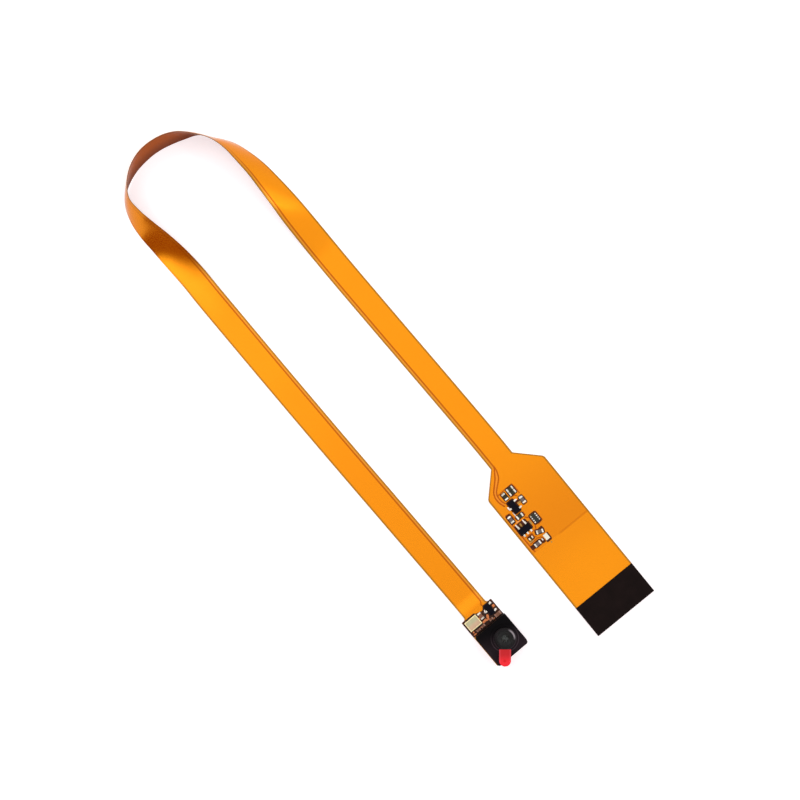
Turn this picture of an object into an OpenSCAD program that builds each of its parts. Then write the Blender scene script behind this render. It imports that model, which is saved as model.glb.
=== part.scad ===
// Fixed-focus camera module: a lens and sensor head on a long one-piece flexible circuit that
// loops back on itself and ends in a wide contact tail.
// Frame: millimetres, +Z up, the underside of the whole part on z = 0. The origin is on the lens
// axis at the underside of the head, and +Y is the way the ribbon leaves the head.

/* [Ribbon] */
// Width of the ribbon
ribbon_w = 6.1; // [5:0.1:7]
// Thickness of the flexible circuit
flex_t = 0.15; // [0.1:0.01:0.25]

/* [Contact tail] */
// Number of contact fingers
contact_count = 15; // [14:1:18]
// Distance between neighbouring fingers, centre to centre
contact_pitch = 1; // [0.95:0.05:1.2]
// Share of the pitch that a finger covers
contact_fill = 0.7; // [0.5:0.05:0.8]
// Length of a contact finger
contact_l = 4; // [3:0.5:6]
// Length of the tail from its end to the flare
tail_l = 38.6; // [38.5:0.1:45]
// Length of the flare between the ribbon and the tail
flare_l = 5; // [4:0.5:5]
// Radius of the rounded corners at the foot of the flare
flare_r = 1.2; // [0.5:0.1:2]
// Length of the stiffener on the back of the fingers
tail_stiffener_l = 7.9; // [6:0.1:12]
// Thickness of the tail stiffener
tail_stiffener_t = 0.2; // [0.1:0.05:0.4]

/* [Head plate] */
// Width of the steel plate under the head
plate_w = 8.5; // [8.4:0.05:8.8]
// Thickness of the steel plate under the head
plate_t = 0.3; // [0.2:0.05:0.5]
// Length of the open strip that carries the parts beside the lens holder
strip_l = 4.1; // [4.05:0.05:5]

/* [Lens holder] */
// Width of the holder across the ribbon
holder_w = 8.5; // [8.2:0.05:9]
// Length of the holder along the ribbon
holder_l = 8.25; // [7.8:0.05:8.6]
// Height of the holder's flat top above the circuit
holder_h = 3.05; // [2.9:0.05:3.6]
// Radius of the holder's upright corners
holder_r = 0.6; // [0.3:0.1:1]
// Thickness of the holder's side walls
holder_wall = 0.6; // [0.4:0.05:0.8]
// Radius of the raised ring around the barrel
boss_r = 3.1; // [2.8:0.05:3.2]
// Height of the raised ring above the holder's top
boss_h = 0.3; // [0.1:0.05:0.5]

/* [Lens barrel] */
// Outer radius of the barrel, which screws into the holder
barrel_r = 2.4; // [2.3:0.05:2.6]
// Length of the barrel
barrel_l = 2.7; // [2.6:0.05:3]
// Height of the barrel's front above the ring
barrel_rise = 1.1; // [0.8:0.05:1.3]
// Bevel on the barrel's front rim
barrel_bevel = 0.25; // [0.1:0.05:0.35]
// Radius of the light opening
aperture_r = 0.75; // [0.5:0.05:0.9]

/* [Cover film] */
// Radius of the clear film over the lens
film_r = 1.9; // [1.6:0.05:2]
// Width of the pull tab
tab_w = 2.6; // [2:0.1:3]
// Distance from the lens axis to the tab's rounded end
tab_reach = 6.1; // [5:0.1:8]
// Compass direction of the tab, seen from above
tab_angle = -130.2; // [-140:0.1:-120]

/* [Hidden] */
$fn = 64;
eps = 0.01;

// Middles of the steel plate and of the holder, which isn't centred on the lens axis
plate_x = -1.05;
holder_x = -0.8;
holder_y = 0.075;
plate_x0 = plate_x - plate_w / 2;
holder_x0 = holder_x - holder_w / 2;
holder_y0 = holder_y - holder_l / 2;
holder_y1 = holder_y0 + holder_l;
plate_y1 = holder_y1 + strip_l;

// Ribbon route from the head to the tail, one row per station: [x, y, rise, tilt]. x and y place
// the middle of the ribbon, rise lifts its outer edge off the ground, and tilt in degrees raises
// its inner edge, so the strip stands on its outer edge around the loop and leans outwards there.
neck_x = -1.1;
neck_r = 0.6;
neck_overlap = 0.1;
route = [
    [neck_x, plate_y1 - neck_overlap, plate_t, 0],
    [neck_x, plate_y1 + neck_r, plate_t, 0],
    [neck_x, plate_y1 + 4, 0, 0],
    [-1.2, 30, 0, 0],
    [-1.4, 60, 0, 0],
    [-1.35, 92, 0, 0],
    [-1.3, 99.7, 0, 4],
    [-1.2, 106, 0, 9],
    [-1.4, 111.1, 0, 18],
    [-1.7, 115.4, 0.1, 31],
    [-2.1, 119.5, 0.35, 43],
    [-2.1, 123.4, 0.6, 57],
    [-1.3, 127.1, 0.7, 73],
    [1.2, 129.9, 0.45, 87],
    [4.6, 131.8, 0.15, 99],
    [8.5, 132.6, 0, 107],
    [12.8, 132.2, 0, 108],
    [16.9, 130.6, 0, 101],
    [19.7, 128.6, 0.2, 86],
    [22.1, 125.2, 0.4, 81],
    [23.6, 122, 0.5, 67],
    [24.4, 118.2, 0.4, 55],
    [24.9, 114.2, 0.2, 45],
    [25, 110, 0.05, 36],
    [25, 106, 0, 27],
    [24.9, 101.9, 0, 16],
    [24.8, 96.7, 0, 8],
    [24.7, 90, 0, 0],
    [24.7, 70, 0, 0],
    [24.8, 50, 0, 0],
    [24.78, 33.4, 0, 0],
    [24.71, 29.5, 0, 0]
];
route_steps = 8;

// Contact tail: its flare begins where the route ends, and its axis turns slightly off +Y
tail_turn = 0.95;
tail_w = contact_pitch * (contact_count + 1);
flare_overlap = 0.5;
route_end = route[len(route) - 1];
tail_reach = tail_l + flare_l - flare_overlap;
tail_origin = [
    route_end[0] - tail_reach * sin(tail_turn),
    route_end[1] - tail_reach * cos(tail_turn)
];
contact_w = contact_pitch * contact_fill;
contact_t = flex_t * 0.25;
contact_recess = flex_t * 0.33;
contact_inset = 0.2;

// Head: the deck is the top of the circuit where it lies on the steel plate
deck_z = plate_t + flex_t;
holder_top = deck_z + holder_h;
boss_top = holder_top + boss_h;
front_z = boss_top + barrel_rise;
barrel_z0 = front_z - barrel_l;

// Inside of the holder: a pocket for the sensor, then the filter's seat, then the barrel's bore
die_w = 5.6;
die_l = 5.2;
die_t = 0.4;
die_x = -0.6;
pocket_h = 0.9;
filter_w = 3.6;
filter_t = 0.25;
filter_gap = 0.05;
window_w = 3;
filter_z = deck_z + pocket_h;
bore_floor = filter_z + filter_t + 0.2;

// Lens stack, from the light opening down to the retaining ring
lens_gap = 0.02;
lip_t = 0.15;
cone_r = 1.5;
cone_h = 0.35;
baffle_t = 0.05;
lens_t = 0.55;
rear_lens_t = 0.6;
retainer_t = 0.25;
pocket_r = [1.3, 1.55, 1.8];
lip_z = front_z - cone_h - lip_t;
middle_z = lip_z - 2 * lens_t;
rear_z = middle_z - rear_lens_t;

// Cover film and pull tab
film_t = 0.05;
tab_t = 0.08;
film_reach = 3.6;
tab_start = 2.3;
tab_bend_r = 9;
tab_bend_from = 3.7;

// Chip-style parts: [length, width, height, end cap length]
small_size = [1, 0.5, 0.35, 0.25];
capacitor_size = [1.6, 0.8, 0.6, 0.35];
resistor_size = [1.6, 0.8, 0.45, 0.35];
array_size = [2.2, 1.5, 0.45, 0.3];
array_pitch = 0.5;
cap_grow = 0.02;

// Parts on the head's open strip: [x, distance back from the strip's far edge, turn, size]
head_capacitors = [
    [-0.98, 1.42, 90, capacitor_size],
    [2.2, 3.55, 0, capacitor_size],
    [0.35, 3.5, 0, small_size],
    [-2, 3.5, 0, small_size],
    [-3.35, 3.55, 0, small_size]
];
oscillator_size = [3.2, 2.45, 0.5];
oscillator_place = [-3.3, 1.6];
lid_border = 0.2;
lid_t = 0.12;
regulator_place = [1.43, 1.52];
regulator_size = [1.3, 2.6, 0.8];

// Parts on the tail: [distance from its left edge, distance back from tail_l, turn, size]
transistor_size = [1.4, 2.9, 0.9];
transistor_place = [3.7, 4.5, 0];
tail_regulator_size = [1.5, 2.9, 0.9];
tail_regulator_place = [2.4, 9.9, 90];
tail_capacitors = [
    [6.15, 4.45, 90, capacitor_size],
    [1.3, 6.3, 90, capacitor_size],
    [4.65, 12.35, -20, capacitor_size],
    [2.58, 14.2, 0, capacitor_size]
];
tail_resistors = [
    [5.42, 0.9, 0, resistor_size],
    [5.42, 1.85, 0, resistor_size],
    [3.5, 1.55, 90, resistor_size],
    [3.35, 6.95, 0, resistor_size],
    [2.2, 12.3, 0, small_size]
];
inductor_place = [5.08, 14.15, 0];
inductor_size = [1, 1.4, 0.7];
array_place = [5.75, 9.4, 90];

// Formed leads of the small packages
lead_t = 0.12;
lead_w = 0.4;
lead_reach = 0.6;
lead_pitch = 0.95;
standoff = 0.06;

// ---- Curve functions for the ribbon ----

// Spacing between station i and the next one, seen from above
function span(i) = norm([route[i + 1][0] - route[i][0], route[i + 1][1] - route[i][1]]);

// Rate of change of the route over span i
function rate(i) = (route[i + 1] - route[i]) / span(i);

// A slope that keeps rise and tilt from swinging past a station: level where they turn
function held(before, after, mean) =
    before * after <= 0 ? 0 : sign(mean) * min(abs(mean), 3 * abs(before), 3 * abs(after));

// Slope of the route at station i, weighted by the spans on both sides
function slope(i) =
    i == 0 ? rate(0)
    : i == len(route) - 1 ? rate(i - 1)
    : let (
        before = rate(i - 1),
        after = rate(i),
        mean = (after * span(i - 1) + before * span(i)) / (span(i - 1) + span(i))
      )
      [
        mean[0],
        mean[1],
        held(before[2], after[2], mean[2]),
        held(before[3], after[3], mean[3])
      ];

// Point on the smooth curve between station i and the next, for u from 0 to 1
function blend(i, u) =
    (2 * u ^ 3 - 3 * u ^ 2 + 1) * route[i] + (u ^ 3 - 2 * u ^ 2 + u) * span(i) * slope(i)
    + (3 * u ^ 2 - 2 * u ^ 3) * route[i + 1] + (u ^ 3 - u ^ 2) * span(i) * slope(i + 1);

samples = [
    for (i = [0:len(route) - 2]) for (k = [0:route_steps - 1]) blend(i, k / route_steps),
    route_end
];

// Middle of the strip's section at a sample, raised so that its outer edge keeps its height
function middle(s) =
    [s[0], s[1], s[2] + ribbon_w / 2 * sin(s[3]) + flex_t / 2 * abs(cos(s[3]))];
middles = [for (s = samples) middle(s)];

function unit(v) = v / norm(v);
function heading(i) = unit(middles[min(i + 1, len(middles) - 1)] - middles[max(i - 1, 0)]);

// Four corners of the section at sample i: outer lower, inner lower, inner upper, outer upper
function section(i) =
    let (
        along = heading(i),
        inward = unit(cross(along, [0, 0, 1])),
        up = cross(inward, along),
        tilt = samples[i][3],
        across = (cos(tilt) * inward + sin(tilt) * up) * ribbon_w / 2,
        face = (cos(tilt) * up - sin(tilt) * inward) * flex_t / 2
    )
    [
        middles[i] - across - face,
        middles[i] + across - face,
        middles[i] + across + face,
        middles[i] - across + face
    ];

// ---- Flexible circuit ----

module ribbon() {
    last = len(middles) - 1;
    corners = [for (i = [0:last]) each section(i)];
    sides = [
        for (i = [0:last - 1]) for (k = [0:3])
            let (a = 4 * i + k, b = 4 * i + (k + 1) % 4)
            each [[a, b, b + 4], [a, b + 4, a + 4]]
    ];
    first_cap = [[0, 3, 2], [0, 2, 1]];
    end = 4 * last;
    last_cap = [[end, end + 1, end + 2], [end, end + 2, end + 3]];
    polyhedron(points = corners, faces = concat(first_cap, sides, last_cap));
}

// Moves its children into the tail's own frame: x from its middle, y from its end
module on_tail(z = 0) {
    translate([tail_origin[0], tail_origin[1], z]) rotate([0, 0, -tail_turn]) children();
}

// Puts a part on the tail's upper face, at [from the left edge, back from tail_l, turn]
module at_tail_place(place) {
    on_tail(flex_t) translate([place[0] - tail_w / 2, tail_l - place[1], 0])
        rotate([0, 0, place[2]]) children();
}

module tail_outline() {
    corner_y = tail_l;
    neck_y = tail_l + flare_l;
    // Straight sides with a round at the foot of each flare
    difference() {
        polygon([
            [-tail_w / 2, 0],
            [tail_w / 2, 0],
            [tail_w / 2, corner_y],
            [ribbon_w / 2, neck_y],
            [-ribbon_w / 2, neck_y],
            [-tail_w / 2, corner_y]
        ]);
        for (side = [-1, 1]) scale([side, 1]) flare_corner_cut();
    }
}

// What the round takes off the sharp corner at the foot of a flare
module flare_corner_cut() {
    run = (tail_w - ribbon_w) / 2;
    lean = atan2(run, flare_l);
    tangent = flare_r * tan(lean / 2);
    difference() {
        polygon([
            [tail_w / 2, tail_l - tangent],
            [tail_w / 2 + 1, tail_l - tangent],
            [tail_w / 2 + 1, tail_l + tangent * cos(lean)],
            [tail_w / 2 - tangent * sin(lean), tail_l + tangent * cos(lean)]
        ]);
        translate([tail_w / 2 - flare_r, tail_l - tangent]) circle(flare_r);
    }
}

// Rounds in the two corners where the ribbon leaves the head's pad
module neck_rounds() {
    for (side = [-1, 1])
        translate([neck_x + side * ribbon_w / 2, plate_y1, plate_t]) scale([side, 1, 1])
            linear_extrude(flex_t) difference() {
                translate([-neck_overlap, -neck_overlap])
                    square(neck_r + neck_overlap);
                translate([neck_r, neck_r]) circle(neck_r);
            }
}

module flex_circuit() {
    color([0.96, 0.6, 0.12]) difference() {
        union() {
            translate([plate_x0, holder_y0, plate_t])
                cube([plate_w, plate_y1 - holder_y0, flex_t]);
            neck_rounds();
            ribbon();
            on_tail() linear_extrude(flex_t) tail_outline();
        }
        // Bare underside that leaves the contact fingers open
        on_tail(-eps) translate([-tail_w / 2 - eps, -eps, 0])
            cube([tail_w + 2 * eps, contact_l + contact_inset + eps, contact_recess + eps]);
    }
}

module contact_fingers() {
    first = -(contact_count - 1) / 2 * contact_pitch;
    color([0.85, 0.68, 0.3]) for (i = [0:contact_count - 1])
        on_tail(contact_recess - contact_t)
            translate([first + i * contact_pitch - contact_w / 2, contact_inset, 0])
                cube([contact_w, contact_l, contact_t]);
}

module tail_stiffener() {
    color([0.06, 0.06, 0.07]) on_tail(flex_t) translate([-tail_w / 2, 0, 0])
        cube([tail_w, tail_stiffener_l, tail_stiffener_t]);
}

// ---- Head plate and lens holder ----

module rounded_slab(w, l, h, r) {
    linear_extrude(h) {
        translate([r, 0]) square([w - 2 * r, l]);
        translate([0, r]) square([w, l - 2 * r]);
        for (x = [r, w - r]) for (y = [r, l - r]) translate([x, y]) circle(r);
    }
}

module head_stiffener() {
    color([0.72, 0.72, 0.73]) translate([plate_x0, holder_y0, 0])
        cube([plate_w, plate_y1 - holder_y0, plate_t]);
}

module sensor_die() {
    color([0.25, 0.27, 0.32]) translate([die_x - die_w / 2, -die_l / 2, deck_z])
        cube([die_w, die_l, die_t]);
}

module centred_block(w, z, h) {
    translate([-w / 2, -w / 2, z]) cube([w, w, h]);
}

module ir_filter() {
    color([0.55, 0.75, 0.8]) centred_block(filter_w, filter_z, filter_t);
}

module lens_holder() {
    pocket = [holder_w - 2 * holder_wall, holder_l - 2 * holder_wall, pocket_h + eps];
    color([0.07, 0.07, 0.08]) difference() {
        union() {
            translate([holder_x0, holder_y0, deck_z])
                rounded_slab(holder_w, holder_l, holder_h, holder_r);
            translate([0, 0, holder_top]) cylinder(h = boss_h, r = boss_r);
        }
        translate([holder_x0 + holder_wall, holder_y0 + holder_wall, deck_z - eps]) cube(pocket);
        centred_block(filter_w + 2 * filter_gap, filter_z - eps, filter_t + eps);
        centred_block(window_w, filter_z, bore_floor - filter_z + eps);
        translate([0, 0, bore_floor]) cylinder(h = boss_top - bore_floor + eps, r = barrel_r);
    }
}

// ---- Barrel and lens stack ----

module lens_barrel() {
    color([0.09, 0.09, 0.1]) rotate_extrude() polygon([
        [pocket_r[2], barrel_z0],
        [barrel_r, barrel_z0],
        [barrel_r, front_z - barrel_bevel],
        [barrel_r - barrel_bevel, front_z],
        [cone_r, front_z],
        [aperture_r, front_z - cone_h],
        [aperture_r, lip_z],
        [pocket_r[0], lip_z],
        [pocket_r[0], middle_z + lens_t],
        [pocket_r[1], middle_z + lens_t],
        [pocket_r[1], rear_z + rear_lens_t],
        [pocket_r[2], rear_z + rear_lens_t]
    ]);
}

function bow_radius(r, bow) = (r ^ 2 + bow ^ 2) / (2 * bow);

// A moulded lens: a flat-rimmed disc from z = 0 to t with a domed front and a hollow rear
module lens_element(r, t, optic_r, front_bow, rear_bow) {
    front = bow_radius(optic_r, front_bow);
    rear = bow_radius(optic_r, rear_bow);
    rotate_extrude() {
        difference() {
            square([r, t]);
            translate([0, rear_bow - rear]) circle(rear);
        }
        intersection() {
            translate([0, t + front_bow - front]) circle(front);
            translate([0, t - eps]) square([optic_r, front_bow + eps]);
        }
    }
}

module front_lens() {
    color([0.75, 0.85, 0.85]) translate([0, 0, lip_z - lens_t])
        lens_element(pocket_r[0] - lens_gap, lens_t, aperture_r - 0.05, 0.15, 0.1);
}

module middle_lens() {
    color([0.75, 0.85, 0.85]) translate([0, 0, middle_z])
        lens_element(pocket_r[1] - lens_gap, lens_t - baffle_t, aperture_r, 0.04, 0.12);
}

module rear_lens() {
    color([0.75, 0.85, 0.85]) translate([0, 0, rear_z])
        lens_element(pocket_r[2] - lens_gap, rear_lens_t - baffle_t, 1.1, 0.04, 0.1);
}

module baffle(r, hole_r, z) {
    translate([0, 0, z]) difference() {
        cylinder(h = baffle_t, r = r - lens_gap);
        translate([0, 0, -eps]) cylinder(h = baffle_t + 2 * eps, r = hole_r);
    }
}

module light_baffles() {
    color([0.05, 0.05, 0.05]) {
        baffle(pocket_r[1], aperture_r + 0.05, middle_z + lens_t - baffle_t);
        baffle(pocket_r[2], 1.15, rear_z + rear_lens_t - baffle_t);
    }
}

module lens_retainer() {
    color([0.05, 0.05, 0.05]) translate([0, 0, rear_z - retainer_t]) difference() {
        cylinder(h = retainer_t, r = pocket_r[2] - lens_gap);
        translate([0, 0, -eps]) cylinder(h = retainer_t + 2 * eps, r = 1.3);
    }
}

// ---- Cover film and pull tab, drawn along +X and then turned ----

module film_plan() {
    circle(film_r);
    translate([0, -tab_w / 2 + 0.3]) square([film_reach, tab_w - 0.6]);
}

module lens_film() {
    color([0.75, 0.8, 0.75, 0.4]) translate([0, 0, front_z]) rotate([0, 0, tab_angle])
        linear_extrude(film_t) film_plan();
}

// Side view of the tab: flat over the film, then a gentle downward bend
module tab_side() {
    translate([tab_start, 0]) square([tab_bend_from - tab_start, tab_t]);
    intersection() {
        translate([tab_bend_from, tab_t - tab_bend_r]) difference() {
            circle(tab_bend_r);
            circle(tab_bend_r - tab_t);
        }
        translate([tab_bend_from, -tab_bend_r]) square([tab_reach, tab_bend_r + tab_t]);
    }
}

module tab_plan() {
    end_r = tab_w / 2;
    translate([tab_start, -end_r]) square([tab_reach - tab_start - end_r, tab_w]);
    translate([tab_reach - end_r, 0]) circle(end_r);
}

module pull_tab() {
    color([0.86, 0.12, 0.2]) translate([0, 0, front_z + film_t]) rotate([0, 0, tab_angle])
        intersection() {
            translate([0, tab_w, 0]) rotate([90, 0, 0]) linear_extrude(2 * tab_w) tab_side();
            translate([0, 0, -2]) linear_extrude(3) tab_plan();
        }
}

// ---- Small parts ----

module centred_box(w, l, h, z = 0) {
    translate([-w / 2, -l / 2, z]) cube([w, l, h]);
}

module chip_body(size) {
    centred_box(size[0] - 2 * size[3], size[1], size[2]);
}

module chip_ends(size) {
    for (side = [0, 180]) rotate([0, 0, side])
        translate([size[0] / 2 - size[3], -size[1] / 2 - cap_grow, 0])
            cube([size[3], size[1] + 2 * cap_grow, size[2] + cap_grow]);
}

// A formed lead that leaves a package's side at +X and ends in a foot
module lead(body_h) {
    top = body_h * 0.6;
    knee = lead_reach * 0.35;
    translate([0, lead_w / 2, 0]) rotate([90, 0, 0]) linear_extrude(lead_w) polygon([
        [0, top - lead_t],
        [0, top],
        [knee + lead_t, top],
        [knee + lead_t, lead_t],
        [lead_reach, lead_t],
        [lead_reach, 0],
        [knee, 0],
        [knee, top - lead_t]
    ]);
}

module package_body(size) {
    centred_box(size[0], size[1], size[2] - standoff, standoff);
}

// Leads at the given offsets on the package's +X side and on its -X side
module package_leads(size, right, left) {
    for (y = right) translate([size[0] / 2, y, 0]) lead(size[2]);
    for (y = left) translate([-size[0] / 2, y, 0]) rotate([0, 0, 180]) lead(size[2]);
}

// ---- Parts on the head's open strip ----

module at_head_place(place, turn = 0) {
    translate([place[0], plate_y1 - place[1], deck_z]) rotate([0, 0, turn]) children();
}

module oscillator_base() {
    color([0.8, 0.62, 0.25]) at_head_place(oscillator_place)
        centred_box(oscillator_size[0], oscillator_size[1], oscillator_size[2]);
}

module oscillator_lid() {
    color([0.8, 0.78, 0.68]) at_head_place(oscillator_place)
        centred_box(oscillator_size[0] - 2 * lid_border, oscillator_size[1] - 2 * lid_border,
            lid_t, oscillator_size[2]);
}

module head_regulator_body() {
    color([0.07, 0.08, 0.08]) at_head_place(regulator_place) package_body(regulator_size);
}

module head_regulator_leads() {
    color([0.85, 0.85, 0.83]) at_head_place(regulator_place)
        package_leads(regulator_size, [-lead_pitch, lead_pitch], [0]);
}

module head_capacitor_bodies() {
    color([0.5, 0.33, 0.25]) for (p = head_capacitors) at_head_place(p, p[2]) chip_body(p[3]);
}

module head_capacitor_ends() {
    color([0.85, 0.82, 0.78]) for (p = head_capacitors) at_head_place(p, p[2]) chip_ends(p[3]);
}

// ---- Parts on the tail ----

module tail_transistor_body() {
    color([0.07, 0.07, 0.08]) at_tail_place(transistor_place) package_body(transistor_size);
}

module tail_transistor_leads() {
    color([0.85, 0.85, 0.83]) at_tail_place(transistor_place)
        package_leads(transistor_size, [-lead_pitch, lead_pitch], [0]);
}

module tail_regulator_body() {
    color([0.06, 0.07, 0.1]) at_tail_place(tail_regulator_place)
        package_body(tail_regulator_size);
}

module tail_regulator_leads() {
    color([0.85, 0.85, 0.83]) at_tail_place(tail_regulator_place)
        package_leads(tail_regulator_size, [-lead_pitch, lead_pitch],
            [-lead_pitch, 0, lead_pitch]);
}

module tail_capacitor_bodies() {
    color([0.45, 0.38, 0.36]) for (p = tail_capacitors) at_tail_place(p) chip_body(p[3]);
}

module tail_capacitor_ends() {
    color([0.88, 0.86, 0.82]) for (p = tail_capacitors) at_tail_place(p) chip_ends(p[3]);
}

module tail_resistor_bodies() {
    color([0.14, 0.14, 0.1]) for (p = tail_resistors) at_tail_place(p) chip_body(p[3]);
}

module tail_resistor_ends() {
    color([0.88, 0.86, 0.82]) for (p = tail_resistors) at_tail_place(p) chip_ends(p[3]);
}

module tail_inductor() {
    color([0.9, 0.9, 0.86]) at_tail_place(inductor_place)
        centred_box(inductor_size[0], inductor_size[1], inductor_size[2]);
}

module resistor_array_body() {
    color([0.1, 0.12, 0.1]) at_tail_place(array_place)
        centred_box(array_size[0], array_size[1] - 2 * array_size[3], array_size[2]);
}

module resistor_array_ends() {
    color([0.88, 0.86, 0.82]) at_tail_place(array_place)
        for (side = [0, 180]) rotate([0, 0, side]) for (i = [-1.5:1:1.5])
            translate([i * array_pitch, array_size[1] / 2 - array_size[3] / 2, 0])
                centred_box(array_pitch * 0.6, array_size[3], array_size[2] + cap_grow);
}

flex_circuit();
head_stiffener();
sensor_die();
ir_filter();
lens_holder();
lens_barrel();
front_lens();
middle_lens();
rear_lens();
light_baffles();
lens_retainer();
lens_film();
pull_tab();
oscillator_base();
oscillator_lid();
head_regulator_body();
head_regulator_leads();
head_capacitor_bodies();
head_capacitor_ends();
tail_stiffener();
contact_fingers();
tail_transistor_body();
tail_transistor_leads();
tail_regulator_body();
tail_regulator_leads();
tail_capacitor_bodies();
tail_capacitor_ends();
tail_resistor_bodies();
tail_resistor_ends();
tail_inductor();
resistor_array_body();
resistor_array_ends();
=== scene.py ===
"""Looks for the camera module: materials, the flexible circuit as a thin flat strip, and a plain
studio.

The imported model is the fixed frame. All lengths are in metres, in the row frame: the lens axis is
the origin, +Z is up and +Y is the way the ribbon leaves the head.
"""

import math

import bpy
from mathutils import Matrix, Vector


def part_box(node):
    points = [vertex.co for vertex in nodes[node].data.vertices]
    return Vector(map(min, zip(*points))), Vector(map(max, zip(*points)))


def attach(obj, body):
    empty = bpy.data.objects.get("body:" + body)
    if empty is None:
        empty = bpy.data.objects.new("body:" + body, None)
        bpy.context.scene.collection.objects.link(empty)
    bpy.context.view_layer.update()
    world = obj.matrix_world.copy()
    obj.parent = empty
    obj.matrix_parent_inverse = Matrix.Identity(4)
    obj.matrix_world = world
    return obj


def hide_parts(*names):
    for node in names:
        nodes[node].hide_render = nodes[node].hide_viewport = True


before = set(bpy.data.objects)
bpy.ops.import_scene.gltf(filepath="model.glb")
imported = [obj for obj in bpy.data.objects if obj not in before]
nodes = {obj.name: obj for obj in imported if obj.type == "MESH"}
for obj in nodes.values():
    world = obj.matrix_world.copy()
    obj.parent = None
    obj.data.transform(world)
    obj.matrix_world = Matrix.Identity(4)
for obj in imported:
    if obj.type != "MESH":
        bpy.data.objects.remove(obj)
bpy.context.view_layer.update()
scene = bpy.context.scene
MM = 0.001

# ---- Camera: it looks straight down from well above the table ----

CAMERA_HEIGHT = 0.45
VIEW_CENTRE = Vector((0.01622, 0.0549, 0.0))
VIEW_WIDTH = 0.17738
VIEW_UP = Vector((0.6455, 0.7638, 0.0)).normalized()


def add_camera():
    """Camera straight above the view's centre, turned so that VIEW_UP is up in the picture."""
    data = bpy.data.cameras.new("camera")
    data.sensor_width = 36.0
    data.lens = 36.0 * CAMERA_HEIGHT / VIEW_WIDTH
    data.clip_start, data.clip_end = 0.01, 20.0
    camera = bpy.data.objects.new("camera", data)
    scene.collection.objects.link(camera)
    right = VIEW_UP.cross(Vector((0, 0, 1)))
    turn = math.atan2(right.y, right.x)
    camera.location = VIEW_CENTRE + Vector((0, 0, CAMERA_HEIGHT))
    camera.rotation_euler = (0, 0, turn)
    scene.camera = camera


add_camera()

# ---- The flexible circuit: head pad, free ribbon and contact tail ----

# Route of the ribbon's middle from the head to the tail: x, y, rise of the outer edge, and the
# tilt in degrees that raises the inner edge. The same stations as in the part's source, in metres.
ROUTE = [
    (-0.0011, 0.0082, 0.0003, 0),
    (-0.0011, 0.0089, 0.0003, 0),
    (-0.0011, 0.0123, 0, 0),
    (-0.0012, 0.030, 0, 0),
    (-0.0014, 0.060, 0, 0),
    (-0.00135, 0.092, 0, 0),
    (-0.0013, 0.0997, 0, 4),
    (-0.0012, 0.106, 0, 9),
    (-0.0014, 0.1111, 0, 18),
    (-0.0017, 0.1154, 0.0001, 31),
    (-0.0021, 0.1195, 0.00035, 43),
    (-0.0021, 0.1234, 0.0006, 57),
    (-0.0013, 0.1271, 0.0007, 73),
    (0.0012, 0.1299, 0.00045, 87),
    (0.0046, 0.1318, 0.00015, 99),
    (0.0085, 0.1326, 0, 107),
    (0.0128, 0.1322, 0, 108),
    (0.0169, 0.1306, 0, 101),
    (0.0197, 0.1286, 0.0002, 86),
    (0.0221, 0.1252, 0.0004, 81),
    (0.0236, 0.122, 0.0005, 67),
    (0.0244, 0.1182, 0.0004, 55),
    (0.0249, 0.1142, 0.0002, 45),
    (0.025, 0.110, 0.00005, 36),
    (0.025, 0.106, 0, 27),
    (0.0249, 0.1019, 0, 16),
    (0.0248, 0.0967, 0, 8),
    (0.0247, 0.090, 0, 0),
    (0.0247, 0.070, 0, 0),
    (0.0248, 0.050, 0, 0),
    (0.02478, 0.0334, 0, 0),
    (0.02471, 0.0295, 0, 0),
]
STEPS = 10
RIBBON_W = 6.1 * MM
FLEX_T = 0.15 * MM

# Tail: its own frame starts at the middle of its end and runs back towards the ribbon
TAIL_TURN = math.radians(0.95)
TAIL_AXIS = Vector((math.sin(TAIL_TURN), math.cos(TAIL_TURN), 0))
TAIL_ACROSS = Vector((math.cos(TAIL_TURN), -math.sin(TAIL_TURN), 0))
TAIL_W = 16 * MM
TAIL_L = 38.6 * MM
FLARE_L = 5 * MM
FLARE_R = 1.2 * MM
FLARE_OVERLAP = 0.5 * MM
# Bare stretch of the underside at the end, and how soon the film steps down to it
BARE_L = 4.2 * MM
BARE_STEP = 0.01 * MM
TAIL_ORIGIN = Vector((ROUTE[-1][0], ROUTE[-1][1], 0)) - TAIL_AXIS * (TAIL_L + FLARE_L - FLARE_OVERLAP)
UP = Vector((0, 0, 1))

# Round at the neck, where the ribbon leaves the pad
NECK_R = 0.6 * MM
# Distance along the ribbon, and how far askew the strip's straight lines run across it there
SKEW = [(0.0, 1.9), (0.104, 1.9), (0.113, -1.1), (0.145, -1.1), (0.155, -1.5), (0.3, -1.5)]
# The strongest bow of a section, as a multiple of its tilt divided by the ribbon's width
MOST_BOW = 1.8
# The free sections start at least this far after the pad's edge, and end this far before the neck
PAD_SPACE = 0.01 * MM
NECK_SPACE = 0.2 * MM
PAD_STEPS = 12


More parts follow.
